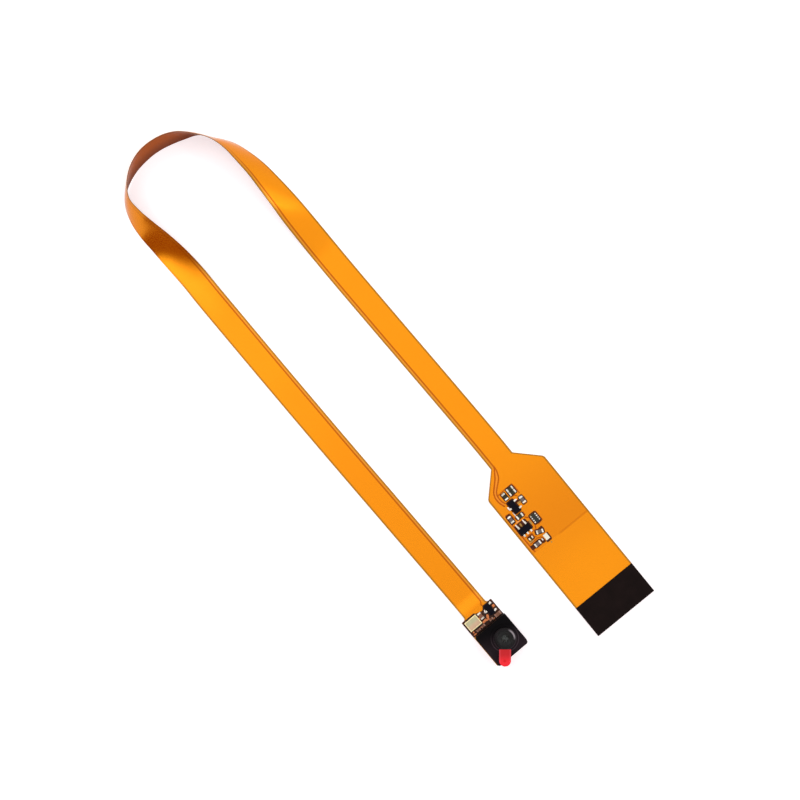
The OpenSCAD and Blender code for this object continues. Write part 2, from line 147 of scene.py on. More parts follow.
def hermite(i, u):
    """Point of the smooth route between station i and the next, as [x, y, rise, tilt]."""

    def span(k):
        return math.dist(ROUTE[k][:2], ROUTE[k + 1][:2])

    def rate(k):
        return [(b - a) / span(k) for a, b in zip(ROUTE[k], ROUTE[k + 1])]

    def held(before, after, mean):
        if before * after <= 0:
            return 0.0
        return math.copysign(min(abs(mean), 3 * abs(before), 3 * abs(after)), mean)

    def slope(k):
        if k == 0 or k == len(ROUTE) - 1:
            return rate(min(k, len(ROUTE) - 2))
        before, after = rate(k - 1), rate(k)
        total = span(k - 1) + span(k)
        mean = [(a * span(k - 1) + b * span(k)) / total for b, a in zip(before, after)]
        return mean[:2] + [held(before[j], after[j], mean[j]) for j in (2, 3)]

    h00, h10 = 2 * u**3 - 3 * u**2 + 1, (u**3 - 2 * u**2 + u) * span(i)
    h01, h11 = 3 * u**2 - 2 * u**3, (u**3 - u**2) * span(i)
    terms = zip(ROUTE[i], slope(i), ROUTE[i + 1], slope(i + 1))
    return [h00 * p + h10 * m + h01 * q + h11 * n for p, m, q, n in terms]


def neck_round(y, pad_end):
    """How far the round at the neck widens the ribbon on each side."""
    gone = y - pad_end
    if gone >= NECK_R:
        return 0.0
    return NECK_R - math.sqrt(NECK_R**2 - (NECK_R - max(gone, 0.0)) ** 2)


def skew_at(run):
    """SKEW at a distance along the ribbon."""
    for (a, p), (b, q) in zip(SKEW, SKEW[1:]):
        if run < b:
            return p + (q - p) * (run - a) / (b - a)
    return SKEW[-1][1]


def ribbon_rows(pad_end):
    """Sections of the ribbon: (middle, across, face, left width, right width, bow).

    A flat strip that bends and twists keeps straight lines that run askew across it, so the tilt
    differs from the outer edge to the inner one, and the section bows between its two edges.
    """
    samples = [hermite(i, k / STEPS) for i in range(len(ROUTE) - 1) for k in range(STEPS)]
    samples.append(list(ROUTE[-1]))
    middles = []
    for x, y, rise, tilt in samples:
        t = math.radians(tilt)
        z = rise + RIBBON_W / 2 * math.sin(t) + FLEX_T / 2 * abs(math.cos(t))
        middles.append(Vector((x, y, z)))
    rows, run = [], 0.0
    for i, middle in enumerate(middles):
        run += (middle - middles[max(i - 1, 0)]).length
        along = (middles[min(i + 1, len(middles) - 1)] - middles[max(i - 1, 0)]).normalized()
        inward = along.cross(UP).normalized()
        up = inward.cross(along)
        t = math.radians(samples[i][3])
        across = math.cos(t) * inward + math.sin(t) * up
        face = math.cos(t) * up - math.sin(t) * inward
        half = RIBBON_W / 2
        if i < 2 * STEPS:
            half += neck_round(middle.y, pad_end)
        low, high = max(i - STEPS // 2, 0), min(i + STEPS // 2, len(middles) - 1)
        span = sum((middles[j + 1] - middles[j]).length for j in range(low, high))
        twist = abs(math.radians(samples[high][3] - samples[low][3])) / span
        limit = MOST_BOW * max(t, 0.0) / RIBBON_W
        bow = max(-limit, min(limit, twist * skew_at(run)))
        rows.append((middle, across, face, half, half, bow))
    return rows


def tail_half(b):
    """Half the tail's width at distance b from its end, with the flare's rounded corner."""
    lean = math.atan2((TAIL_W - RIBBON_W) / 2, FLARE_L)
    tangent = FLARE_R * math.tan(lean / 2)
    low, high = TAIL_L - tangent, TAIL_L + tangent * math.cos(lean)
    if b <= low:
        return TAIL_W / 2
    if b < high:
        return TAIL_W / 2 - FLARE_R + math.sqrt(FLARE_R**2 - (b - low) ** 2)
    return RIBBON_W / 2 + (TAIL_L + FLARE_L - b) * math.tan(lean)


def tail_rows():
    """Sections of the tail from the neck to its end. Across points to the ribbon's inner edge."""
    neck = TAIL_L + FLARE_L
    places = [neck, neck - 1 * MM, neck - 2 * MM, neck - 3 * MM, neck - 4 * MM]
    places += [TAIL_L + k * 0.1 * MM for k in range(4, -7, -1)]
    places += [k * MM for k in range(36, 4, -2)]
    places += [BARE_L + BARE_STEP, BARE_L, 2 * MM, 0.0]
    rows = []
    for b in places:
        middle = TAIL_ORIGIN + TAIL_AXIS * b + UP * FLEX_T / 2
        rows.append((middle, -TAIL_ACROSS, UP, tail_half(b), tail_half(b), 0.0))
    return rows


def bare_contacts(piece, height):
    """Steps the tail's underside up to the given height, so that the contact fingers show."""
    for vertex in piece.data.vertices:
        run = (vertex.co - TAIL_ORIGIN).dot(TAIL_AXIS)
        if run < BARE_L + BARE_STEP / 2 and vertex.co.z < height:
            vertex.co.z = height
    piece.data.update()


def head_rows(box):
    """Sections of the pad on the head's steel plate, from its far edge to the ribbon."""
    low, high = box
    middle_x = ROUTE[0][0]
    left, right = middle_x - low.x, high.x - middle_x
    z = high.z + FLEX_T / 2
    ys = [low.y + (high.y - low.y) * k / PAD_STEPS for k in range(PAD_STEPS + 1)]
    return [(Vector((middle_x, y, z)), Vector((1, 0, 0)), UP, left, right, 0.0) for y in ys]


def free_rows(pad_end):
    """Sections of the free ribbon, from the pad's edge to the tail's neck."""
    rows = [row for row in ribbon_rows(pad_end) if row[0].y > pad_end + PAD_SPACE]
    half_neck = RIBBON_W / 2 + NECK_R
    first = Vector((rows[0][0].x, pad_end, rows[0][0].z))
    rows.insert(0, (first, *rows[0][1:3], half_neck, half_neck, 0.0))
    neck_row = tail_rows()[0]
    while (rows[-1][0] - neck_row[0]).dot(TAIL_AXIS) < NECK_SPACE:
        rows.pop()
    return [*rows, neck_row]


def run_length(rows):
    """Distance along the middles of the sections."""
    return sum((b[0] - a[0]).length for a, b in zip(rows, rows[1:]))


# Materials of a strip's faces, by their number
TOP, UNDER, EDGE = range(3)


def strip_faces(count, columns, caps):
    """Faces of a strip with count sections, and the material of each."""
    faces, kinds = [], []
    under, ring = columns + 1, 2 * (columns + 1)
    last = (count - 1) * ring
    for a in range(0, last, ring):
        b = a + ring
        for k in range(columns):
            faces.append((a + k, a + k + 1, b + k + 1, b + k))
            faces.append((a + under + k + 1, a + under + k, b + under + k, b + under + k + 1))
            kinds += [TOP, UNDER]
        faces.append((a, b, b + under, a + under))
        faces.append((a + columns, a + under + columns, b + under + columns, b + columns))
        kinds += [EDGE, EDGE]
    for k in range(columns):
        if caps[0]:
            faces.append((k + 1, k, under + k, under + k + 1))
            kinds.append(EDGE)
        if caps[1]:
            faces.append((last + k, last + k + 1, last + under + k + 1, last + under + k))
            kinds.append(EDGE)
    return faces, kinds


def strip_piece(name, rows, start, materials, columns=12, caps=(False, False)):
    """A thin solid strip through its sections, with two UV maps in millimetres.

    "place" holds the distance across from the middle and along from the head's far edge, and
    "edges" the distances to the outer and to the inner edge.
    """
    verts, marks, along = [], [], start
    for i, (middle, across, face, left, right, bow) in enumerate(rows):
        if i:
            along += (middle - rows[i - 1][0]).length
        for side in (1, -1):
            for k in range(columns + 1):
                offset = -left + (left + right) * k / columns
                sag = bow / 2 * (left * right - offset**2)
                verts.append(middle + across * offset + face * (side * FLEX_T / 2 - sag))
                marks.append((offset / MM, along / MM, (offset + left) / MM, (right - offset) / MM))
    faces, kinds = strip_faces(len(rows), columns, caps)
    mesh = bpy.data.meshes.new(name)
    mesh.from_pydata(verts, [], faces)
    mesh.polygons.foreach_set("material_index", kinds)
    mesh.polygons.foreach_set("use_smooth", [kind != EDGE for kind in kinds])
    place, edges = mesh.uv_layers.new(name="place"), mesh.uv_layers.new(name="edges")
    for loop in mesh.loops:
        mark = marks[loop.vertex_index]
        place.data[loop.index].uv = mark[:2]
        edges.data[loop.index].uv = mark[2:]
    mesh.update()
    mesh.set_sharp_from_angle(angle=math.radians(40))
    for material in materials:
        mesh.materials.append(material)
    piece = bpy.data.objects.new(name, mesh)
    scene.collection.objects.link(piece)
    return piece, along


plate_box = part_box("head_stiffener")
pad_end = plate_box[1].y
pad_rows = head_rows(plate_box)
rows = free_rows(pad_end)

# ---- Material helpers ----

INPUT_NAMES = {
    "alpha": "Alpha",
    "coat_rough": "Coat Roughness",
    "ior": "IOR",
    "transmission": "Transmission Weight",
}
# Facing values between which the gloss of the film strengthens: 0 is face on, and 1 is edge on
LOW_ANGLE = (0.6, 0.95)


class Nodes:
    """Short calls for building a node tree."""

    def __init__(self, owner):
        owner.use_nodes = True
        self.tree = owner.node_tree

    def add(self, kind, **settings):
        node = self.tree.nodes.new(kind)
        for key, value in settings.items():
            setattr(node, key, value)
        return node

    def set(self, socket, value):
        """Links a socket's source, or writes a plain value."""
        if isinstance(value, bpy.types.NodeSocket):
            self.tree.links.new(value, socket)
        else:
            socket.default_value = value

    def math(self, operation, a, b=0.0, c=0.0):
        node = self.add("ShaderNodeMath", operation=operation)
        for socket, value in zip(node.inputs, (a, b, c)):
            self.set(socket, value)
        return node.outputs[0]

    def times(self, a, b):
        return self.math("MULTIPLY", a, b)

    def plus(self, a, b):
        return self.math("ADD", a, b)

    def minus(self, a, b):
        return self.math("SUBTRACT", a, b)

    def band(self, value, centre, half, soft):
        """1 where value lies within half of centre, fading to 0 over soft."""
        away = self.math("ABSOLUTE", self.minus(value, centre))
        return self.step(away, half + soft, half)

    def distance(self, a, b):
        """Length of the sides a and b taken together, as in a right-angled triangle."""
        return self.math("SQRT", self.plus(self.times(a, a), self.times(b, b)))

    def parts(self, vector):
        """The numbers of a vector socket, one by one."""
        split = self.add("ShaderNodeSeparateXYZ")
        self.set(split.inputs[0], vector)
        return split.outputs

    def step(self, value, low, high):
        """0 at low and 1 at high, smooth between, with either the larger."""
        node = self.add("ShaderNodeMapRange", interpolation_type="SMOOTHSTEP")
        self.set(node.inputs["Value"], value)
        self.set(node.inputs["From Min"], low)
        self.set(node.inputs["From Max"], high)
        return node.outputs["Result"]

    def mix(self, factor, a, b):
        """Colour a where the factor is 0, and b where it is 1."""
        node = self.add("ShaderNodeMix", data_type="RGBA")
        for socket, value in zip((node.inputs[0], node.inputs[6], node.inputs[7]), (factor, a, b)):
            if isinstance(value, tuple) and len(value) == 3:
                value = (*value, 1.0)
            self.set(socket, value)
        return node.outputs[2]

    def noise(self, scale, vector=None, detail=3.0):
        """Soft noise from 0 to 1, with scale in waves to a metre."""
        node = self.add("ShaderNodeTexNoise")
        node.inputs["Scale"].default_value = scale
        node.inputs["Detail"].default_value = detail
        node.inputs["Roughness"].default_value = 0.55
        if vector is None:
            vector = self.add("ShaderNodeTexCoord").outputs["Object"]
        self.set(node.inputs["Vector"], vector)
        return node.outputs["Fac"]


class Surface(Nodes):
    """The node tree of a new material."""

    def __init__(self, name):
        self.material = bpy.data.materials.new(name)
        super().__init__(self.material)
        self.shader = self.tree.nodes["Principled BSDF"]

    def marks(self, name):
        """Two numbers in mm from one of the circuit's maps, "place" or "edges"."""
        return self.parts(self.add("ShaderNodeUVMap", uv_map=name).outputs["UV"])[:2]

    def millimetres(self):
        """The three object coordinates, in mm."""
        place = self.add("ShaderNodeTexCoord").outputs["Object"]
        return [self.times(out, 1 / MM) for out in self.parts(place)]

    def bump(self, height, distance, strength):
        node = self.add("ShaderNodeBump")
        node.inputs["Strength"].default_value = strength
        node.inputs["Distance"].default_value = distance
        self.set(node.inputs["Height"], height)
        self.set(self.shader.inputs["Normal"], node.outputs[0])

    def sheen(self, least, rise):
        """A clear gloss that strengthens where the surface is seen at a low angle."""
        graze = self.step(self.add("ShaderNodeLayerWeight").outputs["Facing"], *LOW_ANGLE)
        self.set(self.shader.inputs["Coat Weight"], self.plus(self.times(graze, rise), least))

    def look(self, color, rough, metallic=0.0, specular=0.5, **others):
        """Sets the shader's own inputs and gives back the material."""
        inputs = self.shader.inputs
        self.set(inputs["Base Color"], (*color, 1.0) if isinstance(color, tuple) else color)
        self.set(inputs["Roughness"], rough)
        self.set(inputs["Metallic"], metallic)
        inputs["Specular IOR Level"].default_value = specular
        for key, value in others.items():
            inputs[INPUT_NAMES[key]].default_value = value
        return self.material


def srgb(red, green, blue):
    """Linear colour from a display colour of 0 to 255."""

    def linear(c):
        c = c / 255
        return c / 12.92 if c <= 0.04045 else ((c + 0.055) / 1.055) ** 2.4

    return (linear(red), linear(green), linear(blue))


# ---- Materials ----

FLEX_DEEP = srgb(246, 146, 8)
FLEX_PALE = srgb(252, 153, 12)
GAP_BROWN = srgb(176, 84, 4)

# Places along the circuit, in mm from the head's far edge. A pair is where a change begins and ends
PAD = run_length(pad_rows) / MM
NECK = PAD + run_length(rows) / MM
CREASE = NECK + 20.5
TRACKS_BEGIN = (12.2, 12.5)
GUARD_TURN = (13.6, 12.2)
HEAD_SHADE = (88.0, 48.0)
LOOP_BEGIN = (PAD + 95, PAD + 104)
LOOP_END = (PAD + 160, PAD + 150)
# Pitch of the faint tracks in mm, and the places of two lines, in mm from its inner edge
TRACK_PITCH = 0.4
GUARD_GAP = 0.84
GUARD_TRACK = 0.42


def flex_top():
    """Amber cover film over copper: faint lengthwise tracks, a guard track and darker edges."""
    m = Surface("flex_top")
    across, along = m.marks("place")
    outer, inner = m.marks("edges")
    cloud = m.noise(60.0, detail=2.0)
    grain = m.noise(2500.0, detail=2.0)
    color = m.mix(cloud, FLEX_DEEP, FLEX_PALE)
    tracks = m.math("SINE", m.times(across, 2 * math.pi / TRACK_PITCH))
    on_ribbon = m.times(m.step(along, NECK + 0.2, NECK - 0.1), m.step(along, *TRACKS_BEGIN))
    faint = m.times(m.step(tracks, 0.2, 0.9), m.times(on_ribbon, 0.07))
    color = m.mix(faint, color, srgb(214, 112, 8))
    color = m.mix(m.times(grain, 0.06), color, srgb(200, 100, 5))
    # Painted shade: the ribbon is a little darker and redder near the head
    color = m.mix(m.times(m.step(along, *HEAD_SHADE), 0.5), color, srgb(232, 134, 6))
    # The tail is a shade deeper towards the crease across it
    before = m.times(m.step(along, NECK - 6, CREASE - 1), m.step(along, CREASE + 0.1, CREASE - 0.1))
    color = m.mix(m.times(before, 0.6), color, srgb(222, 124, 10))
    after = m.times(m.step(along, CREASE - 0.1, CREASE + 0.1), m.step(along, CREASE + 9, CREASE))
    color = m.mix(m.times(after, 0.35), color, srgb(228, 132, 14))
    crease = m.times(m.band(along, CREASE, 0.12, 0.2), m.step(across, 1.0, -0.5))
    color = m.mix(m.times(crease, 0.5), color, srgb(205, 106, 4))
    # The edge lines are fainter round the loop
    loop = m.times(m.step(along, *LOOP_BEGIN), m.step(along, *LOOP_END))
    clear = m.minus(1.0, m.times(loop, 0.7))
    # Guard track beside the inner edge of the ribbon, which turns inwards at the head
    swing = m.times(m.step(along, *GUARD_TURN), 0.7)
    line = m.band(m.minus(inner, swing), GUARD_GAP, 0.13, 0.1)
    on_ribbon = m.times(on_ribbon, clear)
    color = m.mix(m.times(m.times(line, on_ribbon), 0.85), color, GAP_BROWN)
    guard = m.times(m.band(inner, GUARD_TRACK, 0.12, 0.14), on_ribbon)
    color = m.mix(m.times(guard, 0.5), color, srgb(214, 150, 66))
    # Bare film along both cut edges
    rim = m.step(m.math("MINIMUM", outer, inner), 0.5, 0.22)
    color = m.mix(m.times(m.times(rim, clear), 0.8), color, srgb(152, 108, 22))
    m.bump(m.plus(m.times(tracks, 0.02), m.times(grain, 0.05)), 0.00001, 0.3)
    m.sheen(0.12, 0.8)
    return m.look(color, 0.27, metallic=0.82, specular=0.12, coat_rough=0.2)


def flex_under():
    """The plain side of the film, browner because no copper lies right behind it."""
    m = Surface("flex_under")
    outer, inner = m.marks("edges")
    cloud = m.noise(90.0, detail=3.0)
    streak = m.noise(1400.0, detail=2.0)
    color = m.mix(cloud, srgb(176, 82, 18), srgb(190, 92, 24))
    color = m.mix(m.times(streak, 0.2), color, srgb(140, 62, 14))
    rim = m.step(m.math("MINIMUM", outer, inner), 0.5, 0.1)
    color = m.mix(m.times(rim, 0.5), color, srgb(120, 60, 30))
    # Painted shade: darker and redder towards the outer edge, which is the lower one where the ribbon
    # stands
    color = m.mix(m.step(outer, 4.5, 0.0), color, srgb(132, 62, 26))
    m.bump(streak, 0.00002, 0.3)
    m.sheen(0.0, 0.6)
    return m.look(color, 0.42, specular=0.1, coat_rough=0.3)


def flex_edge():
    """Cut edge of the film."""
    m = Surface("flex_edge")
    color = m.mix(m.noise(3000.0), srgb(120, 74, 26), srgb(160, 104, 40))
    return m.look(color, 0.6, specular=0.2)


# Fine grain of black surfaces, in waves to a metre
GRAIN = 5000.0
# Radii on the head, in mm: the two edges of the holder's ring, which carry painted highlights, and the
# painted highlight on the barrel's rim
RING_EDGES = (3.05, 2.5)
HIGHLIGHT_RADIUS = 2.1


def moulded_black(name, dark, light, rough, specular):
    """Black plastic or epoxy with a fine grain and slight patches."""
    m = Surface(name)
    cloud = m.noise(350.0)
    grain = m.noise(GRAIN, detail=2.0)
    color = m.mix(cloud, dark, light)
    roughness = m.plus(m.times(grain, 0.16), rough - 0.08)
    m.bump(grain, 0.00002, 0.5)
    return m.look(color, roughness, specular=specular)


def holder_black():
    """Moulded black plastic with a painted reflection and painted highlights: greyer towards the free
    end, and lighter on the ring's edges.
    """
    m = Surface("holder_black")
    x, y = m.millimetres()[:2]
    cloud = m.noise(700.0, detail=4.0)
    grain = m.noise(GRAIN, detail=2.0)
    # Painted reflection: the plastic turns greyer towards -Y and -X
    slope = m.plus(m.times(y, -0.75), m.times(x, -0.25))
    painted_sheen = m.times(m.step(slope, -2.2, 2.0), m.plus(m.times(cloud, 0.9), 0.5))
    color = m.mix(painted_sheen, srgb(9, 7, 9), srgb(38, 29, 34))
    radius = m.distance(x, y)
    # Painted highlights on the ring's edges, on the lit side only
    ring_highlights = m.math("MAXIMUM", *[m.band(radius, edge, 0.05, 0.12) for edge in RING_EDGES])
    ring_highlights = m.times(ring_highlights, m.step(slope, -2.0, 1.0))
    color = m.mix(m.times(ring_highlights, 0.6), color, srgb(78, 66, 73))
    m.bump(grain, 0.00002, 0.5)
    return m.look(color, 0.5, specular=0.04)


def barrel_black():
    """Turned and blackened metal: dark and even, with a painted highlight of soft grey on one side of
    the rim.
    """
    m = Surface("barrel_black")
    x, y, z = m.millimetres()
    grain = m.noise(GRAIN, detail=2.0)
    color = m.mix(m.noise(500.0), srgb(18, 15, 17), srgb(29, 25, 27))
    radius = m.distance(x, y)
    facing = m.math("DIVIDE", m.plus(m.times(x, 0.992), m.times(y, -0.12)), radius)
    # Painted highlight: a soft grey arc on the rim, on the lit side only
    painted_highlight = m.times(m.band(radius, HIGHLIGHT_RADIUS, 0.1, 0.15), m.step(facing, 0.74, 1.0))
    color = m.mix(m.times(painted_highlight, m.step(z, 4.6, 4.7)), color, srgb(142, 134, 139))
    m.bump(grain, 0.00002, 0.5)
    return m.look(color, 0.3, specular=0.1)


def plated(name, dark, light, rough, scale=1800.0, dull=None):
    """Plated or bare metal with small changes of tone and gloss, browner below y = dull, in mm."""
    m = Surface(name)
    cloud = m.noise(scale, detail=3.0)
    color = m.mix(m.step(cloud, 0.3, 0.7), dark, light)
    if dull:
        near = m.step(m.millimetres()[1], dull, dull - 0.2)
        color = m.mix(m.times(near, 0.8), color, srgb(150, 92, 70))
    roughness = m.plus(m.times(cloud, 0.2), rough - 0.1)
    m.bump(cloud, 0.00002, 0.4)
    return m.look(color, roughness, metallic=1.0)


def ceramic(name, dark, light):
    """Fired body of a chip part, finely speckled."""
    m = Surface(name)
    speck = m.noise(4200.0, detail=4.0)
    color = m.mix(speck, dark, light)
    m.bump(speck, 0.00001, 0.5)
    return m.look(color, 0.45, specular=0.3)


def pale_lid():
    """Pale satin lid with a faint tarnish, warmer towards the lens."""
    m = Surface("pale_lid")
    y = m.millimetres()[1]
    cloud = m.noise(1100.0, detail=4.0)
    warm = m.mix(cloud, srgb(206, 168, 136), srgb(226, 194, 160))
    cool = m.mix(cloud, srgb(182, 178, 138), srgb(204, 202, 164))
    color = m.mix(m.step(y, 6.2, 7.2), warm, cool)
    m.bump(cloud, 0.00001, 0.5)
    return m.look(color, 0.4, specular=0.25)


def rolled_steel():
    """Steel sheet with fine rolling lines along the ribbon's direction."""
    m = Surface("rolled_steel")
    stretch = m.add("ShaderNodeMapping")
    m.set(stretch.inputs["Vector"], m.add("ShaderNodeTexCoord").outputs["Object"])
    stretch.inputs["Scale"].default_value = (1.0, 0.04, 1.0)
    lines = m.noise(9000.0, vector=stretch.outputs[0], detail=2.0)
    color = m.mix(lines, (0.42, 0.42, 0.43), (0.62, 0.62, 0.63))
    m.bump(lines, 0.00001, 0.5)
    return m.look(color, m.plus(m.times(lines, 0.2), 0.25), metallic=1.0)


def lens_glass(name, tint, specular=0.5):
    """Clear tinted glass or moulded lens."""
    m = Surface(name)
    haze = m.noise(900.0)
    color = m.mix(haze, tint, tuple(min(1.0, c * 1.04) for c in tint))
    return m.look(color, 0.02, specular=specular, transmission=1.0, ior=1.53)


def silicon():
    """Image sensor: a grey die with a dark active area."""
    m = Surface("silicon")
    x, y = m.millimetres()[:2]
    inside = m.times(m.band(x, -0.4, 2.0, 0.05), m.band(y, 0.0, 1.6, 0.05))
    color = m.mix(inside, (0.16, 0.17, 0.2), (0.03, 0.05, 0.06))
    color = m.mix(m.times(m.noise(3000.0), 0.2), color, (0.2, 0.3, 0.28))
    return m.look(color, 0.25, specular=0.5)


# Direction of the tab from the lens axis, and its dimple in mm along and beside that direction
TAB_WAY = (-0.645, -0.764)
DIMPLE = (4.85, 0.1)


def tab_red():
    """Red adhesive tape, brightened towards its rounded end by a painted highlight, with a pressed
    dimple there.
    """
    m = Surface("tab_red")
    x, y = m.millimetres()[:2]
    along = m.plus(m.times(x, TAB_WAY[0]), m.times(y, TAB_WAY[1]))
    aside = m.plus(m.times(x, TAB_WAY[1]), m.times(y, -TAB_WAY[0]))
    color = m.mix(m.noise(700.0, detail=3.0), srgb(188, 20, 28), srgb(200, 28, 36))
    # Painted highlight: brighter red towards the rounded end
    color = m.mix(m.step(along, 3.2, 5.4), color, srgb(246, 40, 52))
    rim = m.step(m.math("ABSOLUTE", aside), 0.8, 1.3)
    color = m.mix(m.times(rim, 0.35), color, srgb(235, 90, 105))
    spot = m.step(m.distance(m.minus(along, DIMPLE[0]), m.minus(aside, DIMPLE[1])), 0.5, 0.1)
    color = m.mix(m.times(spot, 0.8), color, srgb(215, 14, 22))
    weave = m.noise(5200.0, detail=1.0)
    m.bump(m.minus(m.times(weave, 0.3), spot), 0.00006, 0.5)
    return m.look(color, 0.42, specular=0.2)


def cover_film():
    """Clear film: mostly see-through, with a faint grey-green cast and a soft gloss."""
    m = Surface("cover_film")
    smear = m.noise(1300.0, detail=3.0)
    color = m.mix(smear, (0.05, 0.06, 0.055), (0.09, 0.1, 0.09))
    m.bump(smear, 0.00002, 0.3)
    return m.look(color, 0.25, specular=0.1, alpha=0.08)


def gap_line():
    """Clear gap beside a printed track, where the dark base film shows through."""
    m = Surface("gap_line")
    color = m.mix(m.noise(1500.0), srgb(168, 74, 4), srgb(196, 96, 10))
    return m.look(color, 0.35, metallic=0.5, specular=0.15)


def dark_board_and_shadow():
    """Dark board between the pads of the tail's small parts, also used for painted shadows beside them.
    """
    m = Surface("dark_board_and_shadow")
    color = m.mix(m.noise(2600.0), srgb(52, 20, 5), srgb(104, 46, 10))
    return m.look(color, 0.5, specular=0.15)


def bare_copper(name, dark, light):
    """Bare or plated copper of a pad, a via or a track."""
    m = Surface(name)
    cloud = m.noise(2600.0, detail=3.0)
    m.bump(cloud, 0.00002, 0.5)
    return m.look(m.mix(cloud, dark, light), 0.38, metallic=0.75, specular=0.2)


def solder():
    """Bright solder with a slightly wavy skin."""
    m = Surface("solder")
    cloud = m.noise(2200.0, detail=2.0)
    color = m.mix(cloud, srgb(226, 214, 204), srgb(255, 246, 238))
    m.bump(cloud, 0.00003, 0.5)
    return m.look(color, 0.3, metallic=0.85, specular=0.4)


def head_board():
    """Dark glossy board on the head's open strip, with copper glinting through in places."""
    m = Surface("head_board")
    cloud = m.noise(900.0, detail=4.0)
    fleck = m.step(m.noise(2400.0, detail=3.0), 0.56, 0.66)
    color = m.mix(cloud, srgb(28, 13, 5), srgb(74, 36, 14))
    color = m.mix(m.times(fleck, 0.45), color, srgb(150, 84, 36))
    m.bump(cloud, 0.00003, 0.5)
    return m.look(color, 0.4, specular=0.2)


def dress(piece, material, bevel=0.0):
    """Gives a CAD node its material and, where asked, a small rounded edge."""
    piece.data.materials.clear()
    piece.data.materials.append(material)
    if bevel:
        weld = piece.modifiers.new("weld", "WELD")
        weld.merge_threshold = 0.001 * MM
        rounding = piece.modifiers.new("rounding", "BEVEL")
        rounding.width = bevel
        rounding.segments = 2
        rounding.limit_method = "ANGLE"
        rounding.angle_limit = math.radians(40)
        rounding.harden_normals = True


TIN = plated("dull_tin", (0.62, 0.58, 0.5), (1.0, 0.96, 0.87), 0.36, scale=1100.0)
HEAD_TIN = plated("head_tin", (0.45, 0.4, 0.34), (0.95, 0.9, 0.8), 0.36, scale=1100.0, dull=5.55)
CHIP = moulded_black("chip_epoxy", srgb(7, 6, 12), srgb(22, 20, 32), 0.45, specular=0.05)
STIFFENER = moulded_black("stiffener_black", srgb(16, 11, 10), srgb(30, 20, 19), 0.6, specular=0.04)
LENS = lens_glass("lens_glass", (0.1, 0.13, 0.1), specular=0.12)
BARREL = barrel_black()
GOLD_RIM = plated("gold_rim", (0.92, 0.76, 0.4), (1.0, 0.86, 0.5), 0.3)
GOLD_PLATE = plated("gold_plate", (0.86, 0.62, 0.24), (0.95, 0.72, 0.32), 0.25)
SOLDER = solder()

# Each node's material, and the width of its rounded edges in mm
LOOKS = {
    "head_stiffener": (rolled_steel(), 0.03),
    "sensor_die": (silicon(), 0.0),
    "ir_filter": (lens_glass("filter_glass", (0.55, 0.8, 0.85)), 0.0),
    "lens_holder": (holder_black(), 0.06),
    "lens_barrel": (BARREL, 0.08),
    "front_lens": (LENS, 0.0),
    "middle_lens": (LENS, 0.0),
    "rear_lens": (LENS, 0.0),
    "light_baffles": (BARREL, 0.0),
    "lens_retainer": (BARREL, 0.0),
    "lens_film": (cover_film(), 0.0),
    "pull_tab": (tab_red(), 0.0),
    "oscillator_base": (GOLD_RIM, 0.04),
    "oscillator_lid": (pale_lid(), 0.03),
    "head_regulator_body": (CHIP, 0.04),
    "head_regulator_leads": (TIN, 0.015),
    "head_capacitor_bodies": (ceramic("cap_brown", srgb(120, 80, 58), srgb(150, 100, 76)), 0.02),
    "head_capacitor_ends": (HEAD_TIN, 0.02),
    "tail_stiffener": (STIFFENER, 0.02),
    "contact_fingers": (GOLD_PLATE, 0.0),
    "tail_transistor_body": (CHIP, 0.04),
    "tail_transistor_leads": (TIN, 0.015),
    "tail_regulator_body": (CHIP, 0.04),
    "tail_regulator_leads": (TIN, 0.015),
    "tail_capacitor_bodies": (ceramic("cap_grey", srgb(84, 76, 80), srgb(120, 108, 106)), 0.03),
    "tail_capacitor_ends": (TIN, 0.02),
    "tail_resistor_bodies": (ceramic("chip_dark", srgb(30, 32, 16), srgb(52, 50, 26)), 0.02),
    "tail_resistor_ends": (TIN, 0.02),
    "tail_inductor": (ceramic("pale_block", srgb(226, 222, 200), srgb(246, 242, 226)), 0.04),
    "resistor_array_body": (ceramic("array_dark", srgb(28, 30, 26), srgb(50, 52, 44)), 0.02),
    "resistor_array_ends": (TIN, 0.02),
}

for node_name, (material, bevel) in LOOKS.items():
    dress(nodes[node_name], material, bevel * MM)

# ---- Flex pieces ----

flex_materials = [flex_top(), flex_under(), flex_edge()]
flex_head, along = strip_piece("flex_head", pad_rows, 0.0, flex_materials, caps=(True, True))
flex_ribbon, along = strip_piece("flex_ribbon", rows, along, flex_materials)
flex_tail, along = strip_piece("flex_tail", tail_rows(), along, flex_materials, 32, caps=(False, True))
bare_contacts(flex_tail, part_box("contact_fingers")[1].z)
for piece in (flex_head, flex_ribbon, flex_tail):
    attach(piece, "root")
    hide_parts("flex_circuit")
# Length of the whole circuit, in metres
print("flex length", round(along, 5))

# ---- Printed tracks, pads and solder, as thin shapes on the circuit's upper face ----

# How far each kind of print stands above the circuit, in mm
TRACE_H = 0.008
GAP_H = 0.012
DEEP_H = 0.018
PAD_H = 0.03
VIA_H = 0.034
# Each shape in a print stands this much higher than the last, so that no two share a plane
LAYER = 0.001
PATCH_POINTS = 20
# Rings of a dome: share of the outline's size, and share of the dome's height
DOME_RINGS = ((0.8, 0.62), (0.5, 0.92))


def on_head(x, y, z):
    """Point on the head, from millimetres in the row frame and above the circuit's top."""
    return Vector((x * MM, y * MM, plate_box[1].z + FLEX_T + z * MM))


def on_tail(a, b, z):
    """Point on the tail, from millimetres from its left edge, from its end and above its top."""
    across = TAIL_ACROSS * (a * MM - TAIL_W / 2)
    return TAIL_ORIGIN + across + TAIL_AXIS * b * MM + UP * (FLEX_T + z * MM)


